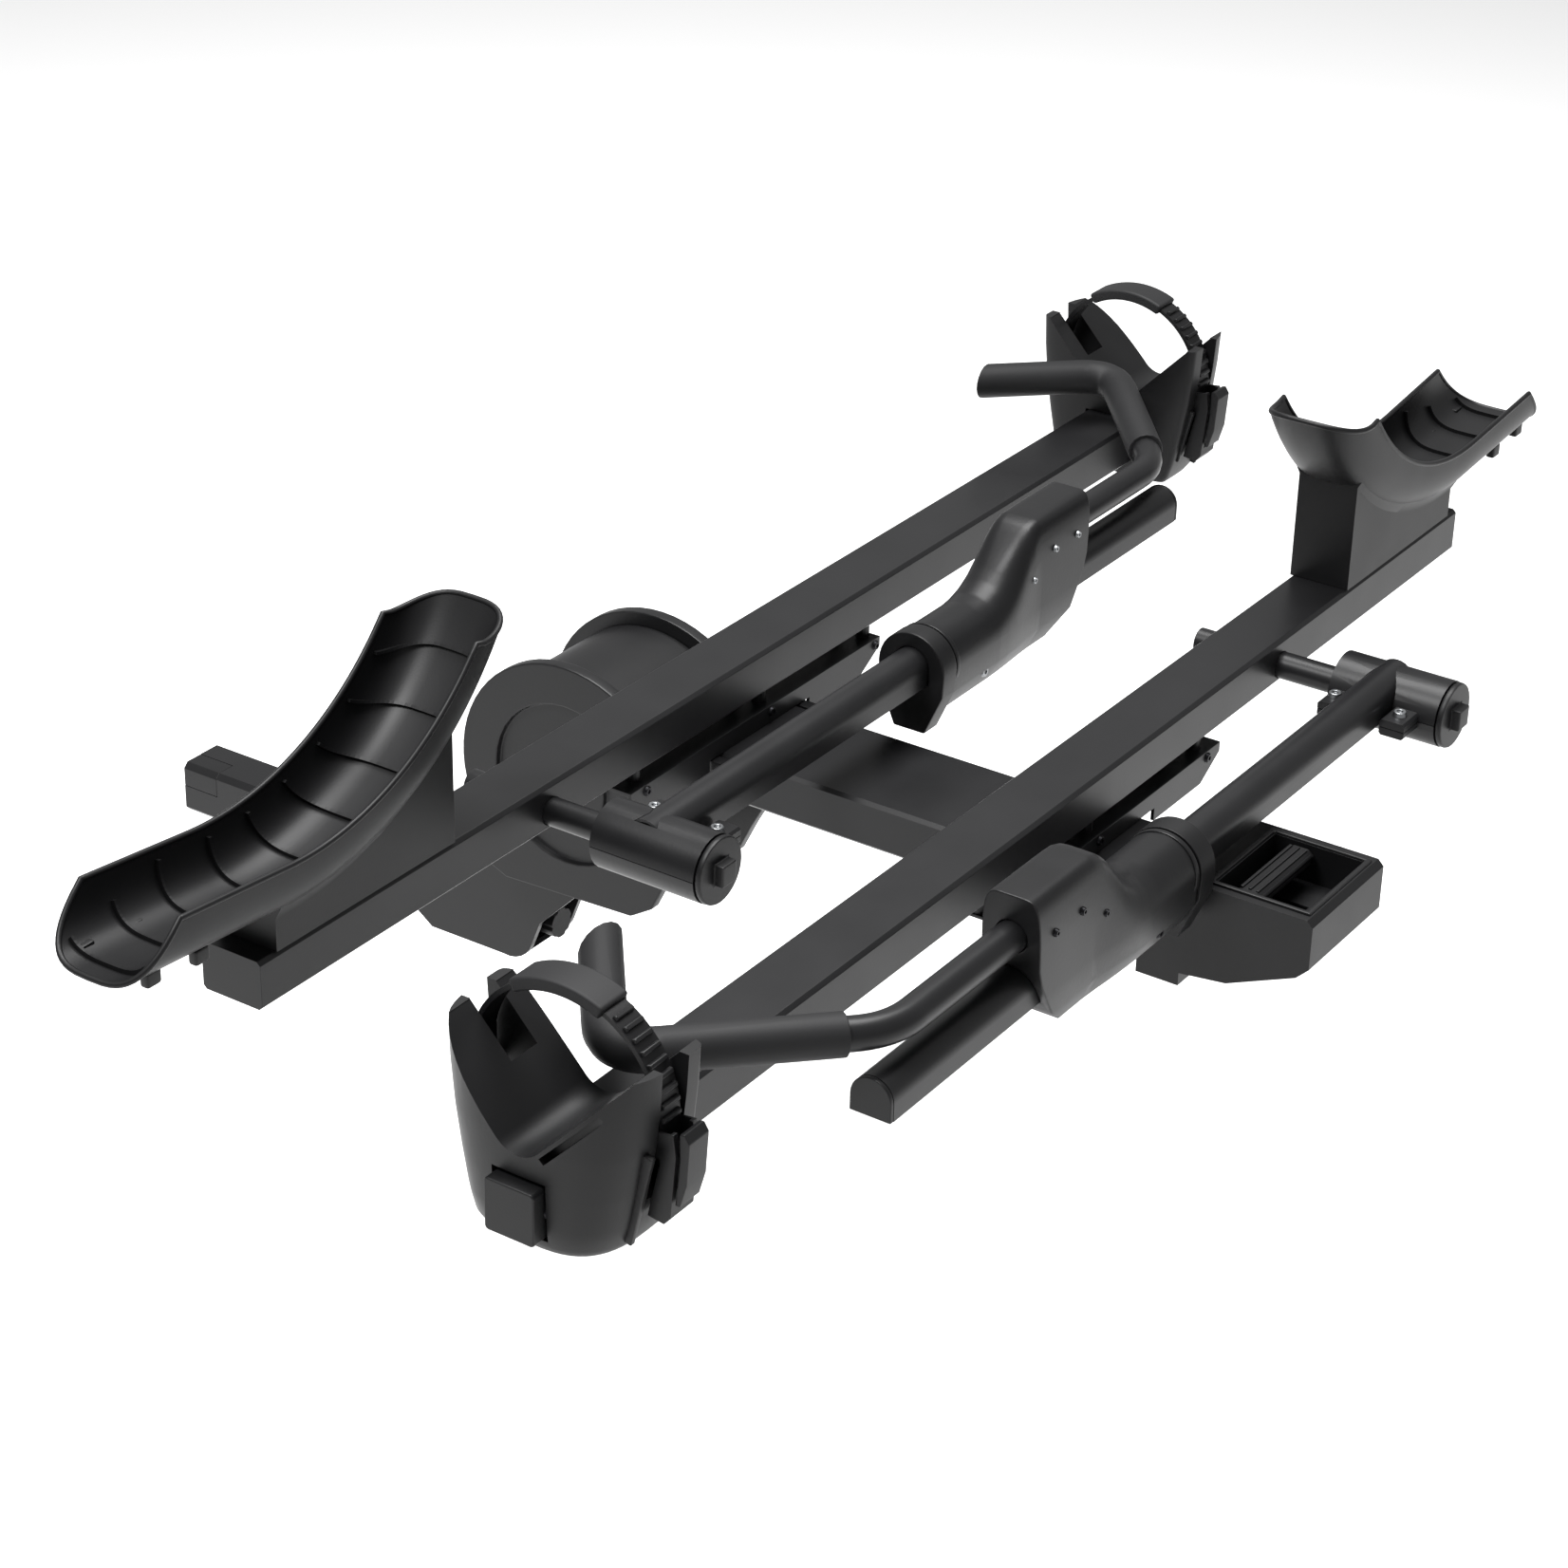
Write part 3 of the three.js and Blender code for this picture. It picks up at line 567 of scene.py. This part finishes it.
def trough_room(row, column):
    if column >= SCOOP_COLUMNS:
        x, z, a, _ = scoop_station(row, 1.0)
        side = -60 if column == SCOOP_COLUMNS else 60
        return Vector((x - 60 * math.sin(a), side, z + 60 * math.cos(a)))
    return scoop_point(row, column, 0.3)


for prefix, place in TRAYS.items():
    stand = close_ends(skin(25, 6, pedestal_point, closed=True))
    room = close_ends(skin(SCOOP_ROWS, SCOOP_COLUMNS + 2, trough_room, closed=True))
    stand = carved(stand, [room])
    soften(stand, 1.2, degrees=36)
    make(
        prefix + "pedestal_flanks", stand, place, nylon, "mast",
        (prefix + "scoop_pedestal",), crease=30,
    )
print("pedestals made")

# %% [markdown]
# The wheel cup is a moulded bucket with a V across it. It narrows downwards and bulges
# outwards. A ring of vertices is extruded from level to level, the V, the strap's slots and
# the seat on the beam are cut out, and the edges are rounded as a mould leaves them.

# %% Wheel cups
CUP_INNER, CUP_OUTER, CUP_HALF, CUP_TOP, CUP_BOTTOM = 1232.0, 1326.0, 81.0, 119.7, -17.0
CUP_LEVELS = [(-17, 0.70, 0.90), (-12, 0.745, 0.95), (2, 0.80, 0.975), (30, 0.87, 0.99),
              (62, 0.94, 1.0), (92, 0.98, 1.0), (119.7, 1.0, 0.99)]
CUP_RING = 56


def between(table, value):
    """Reads a table of rows by its first column, in a straight line between two rows."""
    for low, high in zip(table, table[1:]):
        if value <= high[0]:
            break
    share = (value - low[0]) / (high[0] - low[0])
    share = min(1.0, max(0.0, share))
    return [a + (b - a) * share for a, b in zip(low[1:], high[1:])]


def cup_point(row, column, rows=26):
    z = CUP_BOTTOM + (CUP_TOP - CUP_BOTTOM) * row / (rows - 1)
    narrow, shorten = between(CUP_LEVELS, z)
    t = 2 * math.pi * column / CUP_RING
    middle = CUP_INNER + 30
    reach = (CUP_OUTER - middle) if math.cos(t) > 0 else (middle - CUP_INNER)
    power = 0.75 if math.cos(t) > 0 else 0.16
    x = middle + reach * shorten * math.copysign(abs(math.cos(t)) ** power, math.cos(t))
    flat = 0.62 if math.cos(t) > 0 else 0.40
    y = CUP_HALF * narrow * math.copysign(abs(math.sin(t)) ** flat, math.sin(t))
    return Vector((x, y, z))


def wheel_room():
    valley = [(22 * math.cos(t), 74 + 22 * math.sin(t)) for t in
              [math.radians(225 + 10 * i) for i in range(10)]]
    return prism("x", [(-73, 150), (-73, 119), *valley, (73, 119), (73, 150)], 1200, 1350)


print("cup ring", CUP_RING)

# %% [markdown]
# The bucket is closed first and cut afterwards, because a clean closed shape takes a cut
# well. The cuts are the V for the wheel, the seats for the beam and its end block, a slot for
# the strap on each side, and a groove. The pin and the two outside rails are pieces of their own.

# %% Make the cups
for prefix, place in TRAYS.items():
    bucket = close_ends(skin(26, CUP_RING, cup_point, closed=True))
    groove = block(1315, 1345, -29, 29, -2.6, 2.6)
    lean = Matrix.Translation((0, -39, 75)) @ Matrix.Rotation(math.radians(-46), 4, "X")
    bmesh.ops.transform(groove, matrix=lean, verts=groove.verts)
    cuts = [
        wheel_room(),
        block(1200, 1305.5, -28, 28, -1, 40),
        block(1304, 1350, -21.5, 21.5, -7.5, 37),
        block(1252.5, 1279.5, 40, 90, 48, 140),
        block(1252.5, 1279.5, -90, -52, 20, 140),
        groove,
    ]
    bucket = carved(bucket, cuts)
    soften(bucket, 1.5, degrees=34)
    make(
        prefix + "cup_bucket", bucket, place, nylon, "mast",
        (prefix + "wheel_cup",), crease=38,
    )
    pin = disc("x", 74.6, 64, 2.4, 1251, 1281, 16)
    make(prefix + "strap_pin", pin, place, dark_steel, "mast")
    # A rail stands on the outside below the near slot, and leans with the wall.
    rails = bmesh.new()
    for x, low, high in ((1248.0, 4, 58), (1288.0, -12, 62)):
        lean = Matrix.Translation((x, -67.5, 26)) @ Matrix.Rotation(math.radians(13), 4, "X")
        at = lean @ Matrix.Translation((0, 0, (low + high) / 2 - 26))
        bmesh.ops.create_cube(rails, size=1.0, matrix=at @ Matrix.Diagonal((5, 9, high - low, 1)))
    soften(rails, 1.2)
    make(prefix + "cup_rails", rails, place, nylon, "mast")
print("cups made")

# %% [markdown]
# A ladder strap is a moulded polyurethane band with a row of teeth that a buckle grips. Over
# the rim it carries a soft pad. The band is a rectangle spun about the strap's middle, and a
# tooth is one small wedge, repeated along the arc.

# %% Ladder straps
STRAP_AT, STRAP_Z, STRAP_RADIUS = 1266.0, 76.5, 74.6


def spun_band(half_width, inner, outer, start, end, steps):
    """A rectangle across the strap, spun about its middle from one angle to another."""
    bm = bmesh.new()
    corners = [(-half_width, inner), (half_width, inner), (half_width, outer), (-half_width, outer)]
    verts = [bm.verts.new((STRAP_AT + x, r, STRAP_Z)) for x, r in corners]
    bm.faces.new(verts)
    middle = (STRAP_AT, 0, STRAP_Z)
    turn = Matrix.Rotation(math.radians(start), 3, "X")
    bmesh.ops.rotate(bm, verts=bm.verts, cent=middle, matrix=turn)
    bmesh.ops.spin(
        bm, geom=[*bm.faces, *bm.edges, *bm.verts], cent=middle, axis=(1, 0, 0),
        angle=math.radians(end - start), steps=steps, use_merge=False,
    )
    bmesh.ops.recalc_face_normals(bm, faces=bm.faces)
    return bm


def strap_tooth(bm, degrees, radius, high=3.2, long=4.6):
    a = math.radians(degrees)
    out = radius + high / 2
    middle = Vector((STRAP_AT, out * math.cos(a), STRAP_Z + out * math.sin(a)))
    at = Matrix.Translation(middle) @ Matrix.Rotation(a, 4, "X")
    made = bmesh.ops.create_cube(bm, size=1.0, matrix=at @ Matrix.Diagonal((19, high, long, 1)))
    outer = [v for v in made["verts"] if (at.inverted() @ v.co).y > 0]
    centre = sum((v.co for v in outer), Vector()) / len(outer)
    bmesh.ops.scale(bm, vec=(0.94, 0.62, 0.62), verts=outer, space=Matrix.Translation(-centre))


print("strap radius in mm", STRAP_RADIUS)

# %% [markdown]
# The band is joined to its tail and its hinge before the hinge is bored, so that they are one
# moulding. The teeth and the pad ride with the band but are pieces of their own.

# %% Make the straps
for prefix, place in TRAYS.items():
    body = prefix + "strap"
    band = spun_band(11, STRAP_RADIUS - 1.75, STRAP_RADIUS + 1.75, 10, 180, 48)
    tail = block(1255, 1277, -76.35, -72.85, 54, 77)
    hinge = disc("x", 74.6, 64, 6, 1255, 1277, 24)
    shank = block(1255, 1277, 71.1, 75.8, 68, 90.5)
    band = carved(band, [tail, hinge, shank], "UNION")
    band = carved(band, [disc("x", 74.6, 64, 2.7, 1250, 1282, 16)])
    soften(band, 0.5, degrees=40, segments=1)
    make(
        prefix + "strap_band", band, place, strap_plastic, body,
        (prefix + "ladder_strap",),
    )
    teeth = bmesh.new()
    for i in range(9):
        strap_tooth(teeth, 121 + 7.0 * i, STRAP_RADIUS + 1.4)
    soften(teeth, 0.5, degrees=40, segments=1)
    make(prefix + "strap_teeth", teeth, place, strap_plastic, body)
    pad = spun_band(14.5, STRAP_RADIUS - 4.4, STRAP_RADIUS + 5.6, 58, 115, 22)
    soften(pad, 2.4, degrees=60, segments=3)
    make(
        prefix + "strap_sleeve", pad, place, rubber, body, (prefix + "strap_pad",)
    )
print("straps made")

# %% [markdown]
# The ratchet head is a die casting: a round barrel at the collar that swells into a tall box,
# with a flat plate on its near side. Each row of its skin is an arch that turns from round to
# square as it goes along.

# %% Ratchet heads
ARM_Y = -125.0
HEAD_TABLE = [
    (709, 30.0, 55.5, 1.0),
    (766, 30.0, 55.5, 1.0),
    (780, 30.0, 57.0, 0.96),
    (795, 29.4, 62.5, 0.88),
    (808, 28.4, 71.5, 0.78),
    (820, 27.2, 83.0, 0.64),
    (832, 25.8, 94.0, 0.50),
    (843, 24.8, 101.0, 0.40),
    (852, 24.2, 103.6, 0.36),
    (870, 24.2, 104.0, 0.35),
    (936, 24.2, 104.0, 0.35),
]
HEAD_ROWS, HEAD_COLUMNS = 60, 44


def head_point(row, column):
    x = 709 + (936 - 709) * row / (HEAD_ROWS - 1)
    half, high, square = between(HEAD_TABLE, x)
    arch = HEAD_COLUMNS - 4
    if column > arch:
        corner = {1: (-half * 0.97, 4), 2: (-half * 0.6, -16), 3: (half * 0.6, -16)}[column - arch]
        return Vector((x, ARM_Y + corner[0], corner[1]))
    t = math.pi * column / arch
    y = half * math.copysign(abs(math.cos(t)) ** square, math.cos(t))
    z = 25 + (high - 25) * abs(math.sin(t)) ** square
    return Vector((x, ARM_Y + y, z))


def arm_outline(grow, sides=24):
    radius = 16.4 + grow
    turns = [math.pi * i / sides for i in range(sides + 1)]
    top = [(ARM_Y + radius * math.cos(t), 27.8 + radius * math.sin(t)) for t in turns]
    return [(ARM_Y - radius, 14 - grow), (ARM_Y + radius, 14 - grow), *top]


print("head rows and columns", HEAD_ROWS, HEAD_COLUMNS)

# %% [markdown]
# Room for the arm, the hook and the pawl, and the slanted heel, are cut from the closed skin.
# A raised ring at the collar end is a piece of its own, so that it keeps a crisp step.

# %% Make the heads
for prefix, place in TRAYS.items():
    body = prefix + "head"
    casting = close_ends(skin(HEAD_ROWS, HEAD_COLUMNS, head_point, closed=True))
    heel = [
        (944, -40), (944, 114), (934, 114), (930, 48),
        (925, 33), (908, 4), (883, -14), (874, -40),
    ]
    cuts = [
        prism("y", heel, -180, -80),
        prism("x", arm_outline(0.3), 690, 950),
        disc("x", ARM_Y, 70, 12.9, 840, 950, 32),
        block(739, 775, ARM_Y - 8, ARM_Y + 8, -4, 15),
    ]
    casting = carved(casting, cuts)
    soften(casting, 1.3, degrees=36)
    make(
        prefix + "head_casting", casting, place, cast_paint, body,
        (prefix + "ratchet_head",), crease=40,
    )
    below = block(700, 720, ARM_Y - 40, ARM_Y + 40, -20, -2)
    ring = disc("x", ARM_Y, 25.5, 31.2, 709.5, 714.5, 48)
    lip = carved(ring, [prism("x", arm_outline(2.0), 700, 720), below])
    soften(lip, 1.0, degrees=50)
    make(prefix + "head_lip", lip, place, cast_paint, body)
print("heads made")

# %% [markdown]
# The hook is a bent steel tube in a thick rubber sleeve that ends past the tube. Both are
# curves with a round section: straight runs joined by smooth bends, turned to a mesh, and the
# sleeve's free end is cut on a slant.

# %% Hook rods and sleeves
def bent_tube(corners, bends, radius):
    """A round bar through corners that are rounded by the given lengths."""
    corners = [Vector(c) for c in corners]
    path = [corners[0]]
    for i in range(1, len(corners) - 1):
        enter = corners[i] + (corners[i - 1] - corners[i]).normalized() * bends[i - 1]
        leave = corners[i] + (corners[i + 1] - corners[i]).normalized() * bends[i - 1]
        for step in range(15):
            t = step / 14
            path.append(enter * (1 - t) ** 2 + corners[i] * 2 * t * (1 - t) + leave * t * t)
    path.append(corners[-1])
    return swept(path, radius, False)


HOOK_FIRST, HOOK_SECOND, HOOK_TIP = (1084, -125, 70), (1231.5, 0, 80), (1116, 92, 88)
crossing = (Vector(HOOK_SECOND) - Vector(HOOK_FIRST)).normalized()
sleeve_start = Vector(HOOK_FIRST) + crossing * 32
for prefix, place in TRAYS.items():
    body = prefix + "head"
    rod = bent_tube([(842, -125, 70), HOOK_FIRST, Vector(HOOK_FIRST) + crossing * 60], [26], 12.5)
    make(
        prefix + "hook_bar", rod, place, powder_coat, body,
        (prefix + "hook_rod",), crease=40,
    )
    sleeve = bent_tube([sleeve_start, HOOK_SECOND, HOOK_TIP], [36], 15.8)
    everything = [*sleeve.verts, *sleeve.edges, *sleeve.faces]
    tip_cut = Vector(HOOK_TIP) - (Vector(HOOK_TIP) - Vector(HOOK_SECOND)).normalized() * 18
    bmesh.ops.bisect_plane(
        sleeve, geom=everything, plane_co=tip_cut, plane_no=(-0.2, 0.98, 0.0),
        clear_outer=True, dist=0.01,
    )
    close_ends(sleeve)
    soften(sleeve, 1.6, degrees=50)
    make(
        prefix + "hook_grip", sleeve, place, rubber, body,
        (prefix + "hook_sleeve",), crease=40,
    )
print("hooks made")

# %% [markdown]
# Screws and bolts tell the eye how the rack is held together. A button head is a low cone
# with a bevelled rim and a six-sided socket.

# %% Screws and bolts
def bolt(name, place, at, axis, radius, high, material, body, slot):
    head = bmesh.new()
    bmesh.ops.create_cone(
        head, cap_ends=True, segments=28, radius1=radius, radius2=radius * 0.78, depth=high
    )
    turns = [math.pi * i / 3 for i in range(6)]
    size = radius * 0.42
    socket = prism("z", [(size * math.cos(t), size * math.sin(t)) for t in turns], 0, high)
    head = carved(head, [socket])
    soften(head, radius * 0.06, degrees=40, segments=1)
    turn = Vector((0, 0, 1)).rotation_difference(Vector(axis)).to_matrix().to_4x4()
    bmesh.ops.transform(head, matrix=Matrix.Translation(at) @ turn, verts=head.verts)
    return make(name, head, place, material, body)


print("materials for bolts", zinc.name, dark_steel.name)

# %% [markdown]
# The front head's screws and both trays' clamp bolts are bright zinc, and the rest are
# blackened. The clamp bolts are put in from above, and the others on a tray from its near
# side. One helper makes them all, so a row of bolts is a row of places.

# %% Make the screws and bolts
NEAR, UP = (0, -1, 0), (0, 0, 1)
SCREW_SPOTS = {
    "a": (840, -150.2, 55, 3.4),
    "b": (874, -150.2, 72, 3.4),
    "c": (911, -150.2, 72, 3.4),
    "d": (760, -152.6, 2, 5.2),
}
DARK = (dark_steel, "mast", "dark_steel")
for prefix, place in TRAYS.items():
    head, arm = prefix + "head", prefix + "arm"
    metal, slot = (zinc, "zinc_plate") if prefix == "front_" else (dark_steel, "dark_steel")
    for key, (x, y, z, radius) in SCREW_SPOTS.items():
        name = prefix + "head_screw_" + key
        bolt(name, place, (x, y, z), NEAR, radius, 2.4, metal, head, slot)
    for side in (-29, 29):
        name = prefix + ("clamp_bolt_near" if side < 0 else "clamp_bolt_far")
        bolt(name, place, (371, ARM_Y + side, 24.4), UP, 6.2, 4.0, zinc, arm, "zinc_plate")
    bolt(prefix + "block_bolt", place, (1320, -21.2, 14), NEAR, 4.6, 2.6, *DARK)
    bolt(prefix + "buckle_bolt", place, (1266, -89.6, 26), NEAR, 6.0, 3.0, *DARK)
    for number, x in enumerate((455, 629, 786)):
        bolt(prefix + "saddle_bolt_" + str(number), place, (x, -28.6, -20), NEAR, 4.5, 2.4, *DARK)
for side, name in ((-1, "left"), (1, "right")):
    bolt("pivot_head_" + name, RACK, (side * 69.2, -410, 172), (side, 0, 0), 15, 6, *DARK)
print("bolts made")

# %% [markdown]
# The squeeze lever is a thick moulded blade on a narrow stem. Its back is ribbed for the
# fingers. A profile pushed sideways makes the blade, and small bars make the ribs.

# %% Squeeze lever
blade = prism("x", [(-1021.5, 244), (-1031, 246), (-1043, 256), (-1046, 264), (-1041, 268.5),
                    (-1028, 268.5), (-1021.5, 262)], -43.5, 43.5)
stem = prism("x", [(-1030, 200), (-1021.5, 200), (-1021.5, 250), (-1030, 250)], -10, 10)
lever = carved(blade, [stem], "UNION")
lever = carved(lever, [disc("x", -1026, 204, 2.8, -20, 20, 16)])
soften(lever, 1.2)
make("lever_blade", lever, RACK, strap_plastic, "lever", ("tilt_lever",))
ribs = bmesh.new()
RIB_SPOTS = (
    (-1027.5, 268.8, 0), (-1034, 268.8, 0), (-1040.3, 268.3, 0),
    (-1044.6, 265, 55), (-1044.4, 259.5, 75), (-1040.4, 254.2, 130),
)
for y, z, tilt in RIB_SPOTS:
    at = Matrix.Translation((0, y, z)) @ Matrix.Rotation(math.radians(tilt), 4, "X")
    bmesh.ops.create_cube(ribs, size=1.0, matrix=at @ Matrix.Diagonal((80, 2.6, 2.2, 1)))
soften(ribs, 0.6)
make("lever_ribs", ribs, RACK, strap_plastic, "lever")
print("lever made")

# %% [markdown]
# The handle's recess has a raised rim that stiffens its mouth and saves the fingers from a
# sharp edge. It is a low block with its middle taken out, so that its wall is even all round.

# %% Recess rim
mouth = block(-47.5, 47.5, -1086, -1009, 260, 280)
rim = carved(block(-52, 52, -1090.5, -1004.5, 268.5, 272.2), [mouth])
soften(rim, 1.4)
make("recess_rim", rim, RACK, nylon, "mast")
print("recess rim made")

# %% [markdown]
# The rack hangs from its tongue well above a plain pale floor. The floor is a large grid, so
# that its edge is never in view.

# %% Floor
FLOOR_Z = -0.32
floor_mesh = bpy.data.meshes.new("floor")
floor_bm = bmesh.new()
bmesh.ops.create_grid(floor_bm, x_segments=1, y_segments=1, size=40)
bmesh.ops.translate(floor_bm, vec=(0, 0, FLOOR_Z), verts=floor_bm.verts)
floor_bm.to_mesh(floor_mesh)
floor_bm.free()
floor = bpy.data.objects.new("floor", floor_mesh)
bpy.context.scene.collection.objects.link(floor)
floor_paint = bpy.data.materials.new("pale_studio_floor")
floor_paint.use_nodes = True
paint = floor_paint.node_tree.nodes["Principled BSDF"]
paint.inputs["Base Color"].default_value = linear("#f4f4f4")
paint.inputs["Roughness"].default_value = 0.9
floor_mesh.materials.append(floor_paint)
print("floor at", FLOOR_Z)

# %% [markdown]
# One soft light stands above and to the left, and a larger one is almost overhead. Black
# finishes show mainly what they reflect, so the pale surroundings matter as much as the lights.

# %% Lights
SKY_STRENGTH, KEY_WATTS, TOP_WATTS = 0.52, 120, 220
MIDDLE = (0, -0.6, 0.2)
world = bpy.data.worlds.new("studio")
bpy.context.scene.world = world
world.use_nodes = True
sky = world.node_tree.nodes["Background"]
sky.inputs["Color"].default_value = (1, 1, 1, 1)
sky.inputs["Strength"].default_value = SKY_STRENGTH


def area_light(name, at, target, size, power):
    lamp = bpy.data.lights.new(name, "AREA")
    lamp.shape = "SQUARE"
    lamp.size = size
    lamp.energy = power
    thing = bpy.data.objects.new(name, lamp)
    bpy.context.scene.collection.objects.link(thing)
    aim = (Vector(target) - Vector(at)).to_track_quat("-Z", "Y")
    thing.matrix_world = Matrix.Translation(at) @ aim.to_matrix().to_4x4()


area_light("key_light", (-1.7, -0.2, 3.0), MIDDLE, 1.0, KEY_WATTS)
area_light("top_light", (0.6, -0.4, 3.4), MIDDLE, 2.0, TOP_WATTS)
bpy.context.scene.view_settings.view_transform = "Standard"
print("lights", len(bpy.data.lights))
